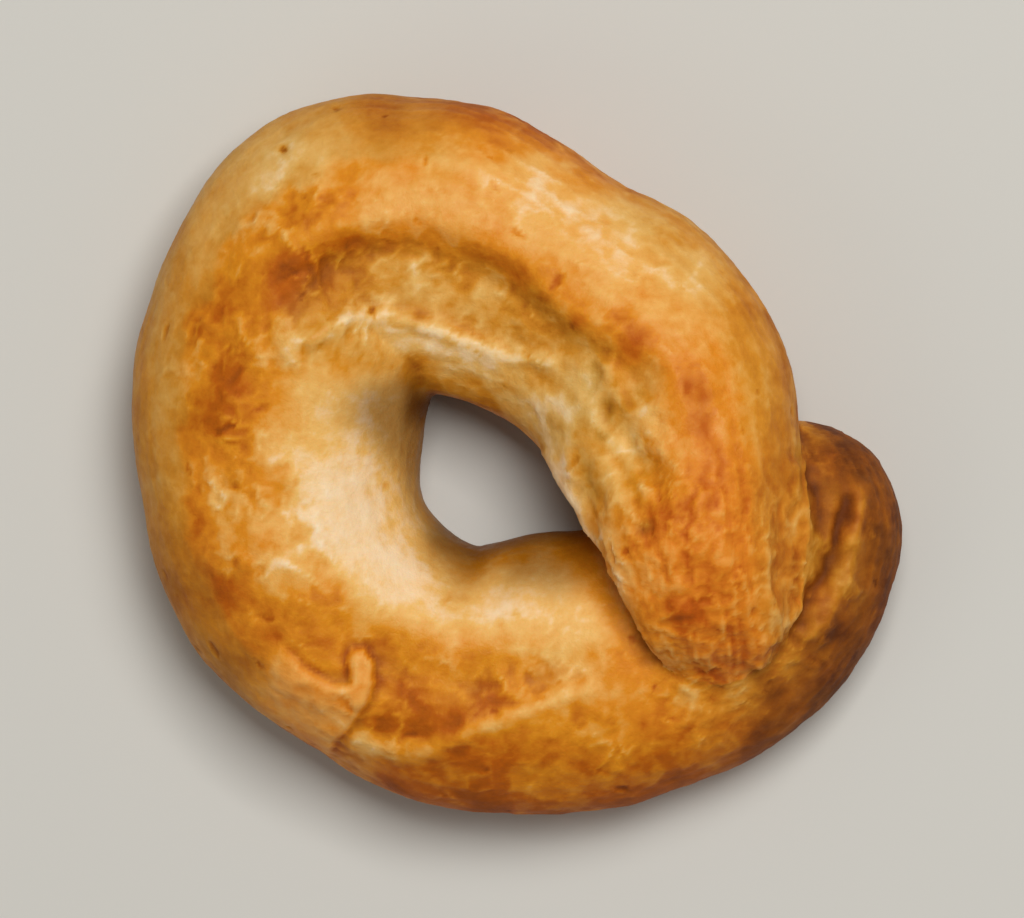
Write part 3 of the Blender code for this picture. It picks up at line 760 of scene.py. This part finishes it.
    def wrinkled_hollow(self):
        """Soft dents with low folds between them, on the strand that climbs to the crossing."""
        upper = self.station > UPPER_STRAND
        height = np.zeros(len(self.spot))
        self.dent = np.zeros(len(self.spot))
        self.dent_bake = np.zeros(len(self.spot))
        for *oval, depth, browner in DENTS:
            dent = (1 - smooth_step(self.oval(*oval), *OVAL_FADES["dent"])) * upper
            height -= depth * dent
            self.dent = np.maximum(self.dent, dent)
            self.dent_bake += browner * dent
        size, seed = FOLD_UNEVEN
        width, rise = SOFT_FOLD
        folds = self.along(SOFT_FOLDS, width) * (0.8 + 0.5 * random_field(self.spot / size, seed))
        swelling = 1 - smooth_step(self.oval(*SWELLING), *OVAL_FADES["swelling"])
        self.pale_fold = np.maximum(folds, 0.8 * swelling) * upper
        return height + (rise * folds + SWELLING_HEIGHT * swelling) * upper

    def drawn_lines(self):
        """Height of the ridges and creases that follow a line of their own, in millimetres."""
        self.rim = self.along([RIM_LINE], RIM[0]) * (self.station < LOWER_STRAND)
        self.ridge = self.along([SHELF_RIDGE], RIDGE_LOOK)
        height = RIM[1] * self.rim + RIDGE[1] * self.along([SHELF_RIDGE], RIDGE[0])
        size, seed = LIP_SWAY
        middle, width = LIP_ANGLE
        self.lip = bump(self.angle, middle + 4 * random_field(self.spot / size, seed), width)
        self.lip = self.lip * band(self.station, *LIP_PLACE)
        height += LIP * self.lip
        creases = [depth * self.along([line], CREASE_WIDTH) for depth, line in TAIL_CREASES]
        self.crease = np.max(creases, axis=0) * self.top
        self.tail_fold = self.along(TAIL_FOLDS, TAIL_FOLD[0])
        height += TAIL_FOLD[1] * self.tail_fold - self.crease
        self.lens = 1 - smooth_step(self.oval(*LENS), *OVAL_FADES["lens"])
        height += LENS_HEIGHT * self.lens
        for x, y, reach in DARK_PITS:
            height -= DARK_PIT_STEEPNESS * reach * self.near(x, y, reach)
        return height * self.top

    def relief(self):
        """How far the crust stands out from the plain skin, in millimetres."""
        spot = self.spot
        size, seed = BEND
        bend = np.stack([layered(spot, size, seed + i, 2) for i in range(3)], axis=1)
        warped = spot + BEND_REACH * bend
        long_way = self.unrolled * LONG_WAY + LONG_BEND_REACH * bend
        areas = smooth_step(layered(spot, *ROUGH_AREAS), -0.2, 0.4)
        rough = np.clip(0.25 + 0.75 * self.crest * areas + 0.8 * self.end, 0, 1.2)
        rough = self.lessened(rough, SMOOTH)
        self.wisps = ridged(warped, *WISPS) ** 5 * patches(spot, *WISP_AREAS)
        self.fine_wisps = ridged(warped, *FINE_WISPS) ** 4 * patches(spot, *FINE_WISP_AREAS)
        self.wrinkles = ridged(long_way, *WRINKLES) ** 2 - 0.4
        steps = layered(warped, *TERRACES) * TERRACE_STEPS
        terraces = (np.floor(steps) + smooth_step(steps % 1.0, 0.36, 0.64)) / TERRACE_STEPS
        self.pits = patches(warped, *PITS)
        height = self.flap() + self.wrinkled_hollow() + self.drawn_lines()
        raised = WISP * self.wisps + FINE_WISP * self.fine_wisps + TERRACE * terraces
        height += rough * (raised + BLISTER * patches(warped, *BLISTERS))
        height += (WRINKLE + self.weighed(WRINKLED)) * self.wrinkles
        height += RIDGE_WRINKLE * self.ridge * ridged(long_way, *RIDGE_WRINKLES) ** 3
        height += SKIN_WRINKLE * (ridged(warped, *SKIN_WRINKLES) ** 2 - 0.4)
        height -= PIT * self.pits * (1 - 0.7 * self.funnel)
        return height * (1 - FOOT_FLATTENED * self.foot)

    def shape(self):
        """Moves the skin's points out by the relief and keeps what each point needs for its colour."""
        self.points = self.points + self.normals * (self.relief() * MM)[:, None]
        self.points[:, 2] = np.maximum(self.points[:, 2], 0.0)
        self.look()
        self.fine_cavity = self.cavity(FINE_ROUNDS)
        self.wide_cavity = self.cavity(WIDE_ROUNDS)

    def cavity(self, rounds):
        """How far the surface lies below the average of its surroundings, in millimetres."""
        gap = relaxed(self.mesh, self.points, rounds) - self.points
        return (gap * self.normals).sum(axis=1) / MM

    def bake(self):
        """How far the crust has browned, from 0 for pale dough to 1 for dark brown, with painted shade
        and painted highlights in it.
        """
        spot = self.spot
        angle = self.angle + 7 * layered(spot, *BROWN_ANGLES)
        bake = browning_and_shade(self.station + 0.12 * layered(spot, *BROWN_STATIONS), angle)
        mottle = layered(spot, *MOTTLE)
        varied = PATCHES_BROWN * layered(spot, *BROWN_PATCHES) + MOTTLE_BROWN * mottle
        varied += ISLANDS_BROWN * (smooth_step(layered(spot, *BROWN_ISLANDS), -0.12, 0.12) - 0.5)
        varied += STREAKS_BROWN * layered(self.unrolled * LONG_WAY, *STREAKS, 2)
        varied -= WISPS_PALE * self.wisps + FINE_WISPS_PALE * self.fine_wisps
        bake += varied * (1 - self.weighed(EVEN)) + self.weighed(BROWNING_AND_PAINTED_LIGHT)
        # Spots of browning, painted shade and painted highlights
        for x, y, reach, amount in BROWNING_AND_PAINTED_LIGHT_SPOTS:
            bake += amount * self.near(x, y, reach, 1 + SPOTS_UNEVEN * mottle) * self.top
        for pit in DARK_PITS:
            bake += DARK_PITS_BROWN * self.near(*pit) * self.top
        wrinkled = np.clip(0.3 * self.tail + self.end + 0.3 * self.roll, 0, 1)
        bake -= WRINKLES_PALE * self.wrinkles * wrinkled
        # Painted highlight streaks along the shelf's ridge
        bake -= RIDGE_PAINTED_HIGHLIGHT * self.ridge * (self.wrinkles > 0)
        bake -= FOLDS_PALE * (self.pale_fold * self.veined + self.tail_fold * self.top)
        # Painted shadow under the upper end's edge, on the strand below
        under = self.along([UNDER_END], 1.0) * (self.station < LOWER_STRAND)
        share, own = UNDER_END_PAINTED_SHADOW
        bake += share * under * (own - bake)
        share, own = FLAP_BROWNING
        # A little painted shadow in the sunk strip beside the flake, and the flake's own browning
        bake += 0.03 * self.beside + share * self.flake * (own + 0.18 * mottle - bake)
        # Browner pits, with painted shade in small hollows and a painted highlight on small rises
        bake += PITS_BROWN * self.pits + CAVITY_PAINTED_LIGHT * np.clip(self.fine_cavity, -0.06, 0.06)
        self.baked = np.clip(bake, 0, 1)
        return self.baked

    def warmth(self):
        """How far the crust leans from golden yellow to orange, from 0 to 1."""
        return np.clip(0.22 + self.weighed(WARM) + 0.3 * layered(self.spot, *WARM_AREAS), 0, 1)

    def dullness_and_shade(self):
        """How far the colour turns to a plain khaki, from 0 to 0.8, in part as painted shade."""
        return np.clip(self.weighed(DULL_AND_SHADED) * (1 + 0.3 * layered(self.spot, *DULL_AREAS)), 0, 0.8)

    def gloss(self):
        """Where the skin is smooth and oily, from 0 to 1."""
        return np.clip(self.weighed(GLOSS), 0, 1) * (1 - smooth_step(self.baked, 0.4, 0.65))

    def creases(self):
        """How deep each point lies in a crease, in millimetres, for its painted shade, less where that
        shade is lighter.
        """
        self.sealed = np.max([self.near(x, y, 1.5 * reach) for x, y, reach in SEALS], axis=0)
        return self.lessened(self.wide_cavity, LESS_SHADED_CREASES)

    def store(self, name, values):
        """Keeps one number for each point under a name that the material reads."""
        attribute = self.mesh.attributes.new(name, "FLOAT", "POINT")
        attribute.data.foreach_set("value", values.astype(np.float32))


def srgb(red, green, blue):
    """A colour written as 0 to 255 screen values, as the linear values that shaders take."""
    values = np.array((red, green, blue)) / 255
    linear = np.where(values <= 0.04045, values / 12.92, ((values + 0.055) / 1.055) ** 2.4)
    return (*linear, 1.0)


# Crust colours from pale dough to dark brown: golden, orange and khaki
GOLDEN = (
    (0.0, srgb(252, 228, 196)),
    (0.12, srgb(248, 214, 168)),
    (0.22, srgb(240, 191, 110)),
    (0.45, srgb(224, 146, 26)),
    (0.68, srgb(184, 96, 0)),
    (1.0, srgb(114, 50, 0)),
)
ORANGE = (
    (0.0, srgb(250, 212, 160)),
    (0.22, srgb(241, 170, 82)),
    (0.45, srgb(228, 136, 34)),
    (0.68, srgb(194, 92, 8)),
    (1.0, srgb(116, 46, 0)),
)
# Khaki also colours the dulled parts, in part painted shade
KHAKI = (
    (0.0, srgb(240, 208, 144)),
    (0.3, srgb(210, 165, 84)),
    (0.55, srgb(182, 127, 36)),
    (0.8, srgb(134, 80, 16)),
    (1.0, srgb(88, 46, 6)),
)
# Colours of the painted shade in creases and on the hole's wall
CREASE_PAINTED_SHADE = srgb(120, 60, 16)
HOLE_PAINTED_SHADE = srgb(84, 44, 4)

# Noise of the material: size, detail, roughness, and distortion where it has one
FRECKLES = (0.6 * MM, 4.0, 0.6)
FRECKLE_BAKE = 0.22  # how far they vary the browning
SHEEN_AREAS = 0.9 * MM
POLISH = 0.18  # how much less rough the glossiest parts are
PORES, PORE_DEPTH = (0.11 * MM, 3.0, 0.6), 0.03 * MM
SKIN, SKIN_DEPTH = (0.35 * MM, 4.0, 0.55, 0.4), 0.07 * MM


class Nodes:
    """Short calls that add nodes to a material and link them."""

    def __init__(self, material):
        material.use_nodes = True
        self.tree = material.node_tree
        self.shader = self.tree.nodes["Principled BSDF"]

    def fill(self, node, inputs):
        """Puts numbers, colours or other nodes' outputs into a node's inputs, by name or by number."""
        for name, value in inputs.items():
            if isinstance(value, bpy.types.NodeSocket):
                self.tree.links.new(value, node.inputs[name])
            else:
                node.inputs[name].default_value = value

    def add(self, kind, inputs):
        """A new node of a kind, with these inputs filled."""
        node = self.tree.nodes.new(kind)
        self.fill(node, inputs)
        return node

    def attribute(self, name):
        node = self.add("ShaderNodeAttribute", {})
        node.attribute_name = name
        return node.outputs["Fac"]

    def noise(self, size, detail=3.0, roughness=0.5, distortion=0.0):
        """Noise from 0 to 1 whose features measure size, in metres."""
        inputs = {"Scale": 1.0 / size, "Detail": detail, "Roughness": roughness, "Distortion": distortion}
        inputs["Vector"] = self.add("ShaderNodeTexCoord", {}).outputs["Object"]
        return self.add("ShaderNodeTexNoise", inputs).outputs["Fac"]

    def math(self, operation, *values):
        node = self.add("ShaderNodeMath", dict(enumerate(values)))
        node.operation = operation
        return node.outputs[0]

    def spread(self, value, low, high, to_low=0.0, to_high=1.0):
        """Maps low..high to to_low..to_high and clamps it there."""
        inputs = {"Value": value, "From Min": low, "From Max": high, "To Min": to_low, "To Max": to_high}
        return self.add("ShaderNodeMapRange", inputs).outputs[0]

    def ramp(self, value, stops):
        node = self.add("ShaderNodeValToRGB", {"Fac": value})
        elements = node.color_ramp.elements
        while len(elements) < len(stops):
            elements.new(0.5)
        for element, (position, colour) in zip(elements, stops):
            element.position = position
            element.color = colour
        return node.outputs["Color"]

    def mix(self, share, first, second):
        node = self.add("ShaderNodeMix", {0: share})
        node.data_type = "RGBA"
        colours = [i for i, socket in enumerate(node.inputs) if socket.type == "RGBA"]
        self.fill(node, dict(zip(colours, (first, second))))
        return next(socket for socket in node.outputs if socket.type == "RGBA")

    def bump(self, height, inputs):
        return self.add("ShaderNodeBump", {"Height": height, **inputs}).outputs["Normal"]


def crust_material():
    """Golden crust: browned in patches, with painted shade in creases and on the hole's wall, and a faint
    gloss on the smooth parts.
    """
    material = bpy.data.materials.new(SLOT)
    nodes = Nodes(material)
    bake = nodes.math("MULTIPLY_ADD", nodes.noise(*FRECKLES), FRECKLE_BAKE, nodes.attribute("bake"))
    bake = nodes.math("SUBTRACT", bake, FRECKLE_BAKE / 2)
    colour = nodes.mix(nodes.attribute("warm"), nodes.ramp(bake, GOLDEN), nodes.ramp(bake, ORANGE))
    # Duller khaki, in part painted shade
    colour = nodes.mix(nodes.attribute("dull_and_shaded"), colour, nodes.ramp(bake, KHAKI))
    # Painted shade: darker brown in creases and on the hole's wall
    crease = nodes.spread(nodes.attribute("cavity"), low=0.02, high=0.3, to_high=0.7)
    colour = nodes.mix(crease, colour, CREASE_PAINTED_SHADE)
    colour = nodes.mix(nodes.attribute("hole"), colour, HOLE_PAINTED_SHADE)
    rough = nodes.spread(nodes.noise(SHEEN_AREAS), low=0.3, high=0.7, to_low=0.48, to_high=0.62)
    rough = nodes.math("MULTIPLY_ADD", nodes.attribute("gloss"), -POLISH, rough)
    dry = nodes.spread(bake, low=0.5, high=0.75, to_high=0.16)
    pores = nodes.bump(nodes.noise(*PORES), {"Distance": PORE_DEPTH, "Strength": 0.6})
    skin = nodes.bump(nodes.noise(*SKIN), {"Distance": SKIN_DEPTH, "Strength": 0.7, "Normal": pores})
    nodes.fill(nodes.shader, {
        "Base Color": colour,
        "Roughness": nodes.math("ADD", rough, dry),
        "Normal": skin,
        "Subsurface Weight": 0.12,
        "Subsurface Radius": (1.0, 0.5, 0.22),
        "Subsurface Scale": 1.2 * MM,
        "Specular IOR Level": 0.2,
    })
    return material


def make_crust():
    """The tarallo itself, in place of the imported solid."""
    crust = Crust()
    crust.shape()
    crust.store("bake", crust.bake())
    crust.store("warm", crust.warmth())
    crust.store("dull_and_shaded", crust.dullness_and_shade())
    crust.store("gloss", crust.gloss())
    # painted shade of the hole's wall
    crust.store("hole", crust.hole)
    # depth of the creases, for their painted shade
    crust.store("cavity", crust.creases())
    low, high = (np.array(corner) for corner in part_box(NODE))
    middle = (crust.points.min(axis=0) + crust.points.max(axis=0)) / 2
    shift = (low + high) / 2 - middle
    crust.points += (shift[0], shift[1], 0.0)
    crust.look()
    crust.mesh.shade_smooth()
    crust.mesh.materials.clear()
    crust.mesh.materials.append(crust_material())
    piece = bpy.data.objects.new("tarallo_crust", crust.mesh)
    bpy.context.scene.collection.objects.link(piece)
    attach(piece, "root")
    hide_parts(NODE)


def make_floor():
    """A plain pale table top."""
    bpy.ops.mesh.primitive_plane_add(size=TABLE_WIDTH)
    floor = bpy.context.object
    floor.name = "floor"
    material = bpy.data.materials.new("table_top")
    nodes = Nodes(material)
    nodes.fill(nodes.shader, {"Base Color": TABLE_COLOUR, "Roughness": 0.7})
    floor.data.materials.append(material)


def aimed(obj, place, target):
    """Puts an object at a place, looking at a target along its own -Z."""
    obj.location = place
    obj.rotation_euler = (Vector(target) - Vector(place)).to_track_quat("-Z", "Y").to_euler()
    bpy.context.scene.collection.objects.link(obj)


def area_light(name, azimuth, elevation, distance, size, power, colour):
    """A square soft box that looks at the tarallo from a direction given in degrees."""
    light = bpy.data.lights.new(name, "AREA")
    light.shape = "SQUARE"
    light.size = size
    light.energy = power
    light.color = colour
    turn, rise = math.radians(azimuth), math.radians(elevation)
    flat = distance * math.cos(rise)
    place = (flat * math.cos(turn), flat * math.sin(turn), distance * math.sin(rise))
    aimed(bpy.data.objects.new(name, light), place, (0, 0, SEEN_HEIGHT * MM))


def make_light():
    """A soft box high on the right and far side, a weak one opposite, and an even sky."""
    area_light("key", azimuth=55, elevation=66, distance=0.7, size=0.3, power=3.84, colour=KEY_COLOUR)
    area_light("fill", azimuth=215, elevation=40, distance=0.9, size=0.6, power=0.6, colour=FILL_COLOUR)
    world = bpy.data.worlds.new("sky")
    world.use_nodes = True
    background = world.node_tree.nodes["Background"]
    background.inputs["Color"].default_value = SKY_COLOUR
    background.inputs["Strength"].default_value = SKY_STRENGTH
    bpy.context.scene.world = world


def make_camera():
    """Looks down on the tarallo through a long lens, with the far side up."""
    low, high = (Vector(corner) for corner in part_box(NODE))
    target = (low + high) / 2
    tilt, turn = math.radians(CAMERA_TILT), math.radians(CAMERA_TURN)
    away = Vector((math.sin(tilt) * math.cos(turn), math.sin(tilt) * math.sin(turn), math.cos(tilt)))
    camera = bpy.data.cameras.new("camera")
    camera.lens = camera.sensor_width * CAMERA_DISTANCE / VIEW_WIDTH
    camera.clip_start = 0.01
    obj = bpy.data.objects.new("camera", camera)
    obj.location = target + away * CAMERA_DISTANCE
    up = (Vector((0, 1, 0)) - away * away.y).normalized()
    right = up.cross(away)
    obj.rotation_euler = Matrix((right, up, away)).transposed().to_euler()
    bpy.context.scene.collection.objects.link(obj)
    bpy.context.scene.camera = obj


def main():
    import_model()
    make_crust()
    make_floor()
    make_light()
    make_camera()
    bpy.context.scene.view_settings.view_transform = "Standard"


main()
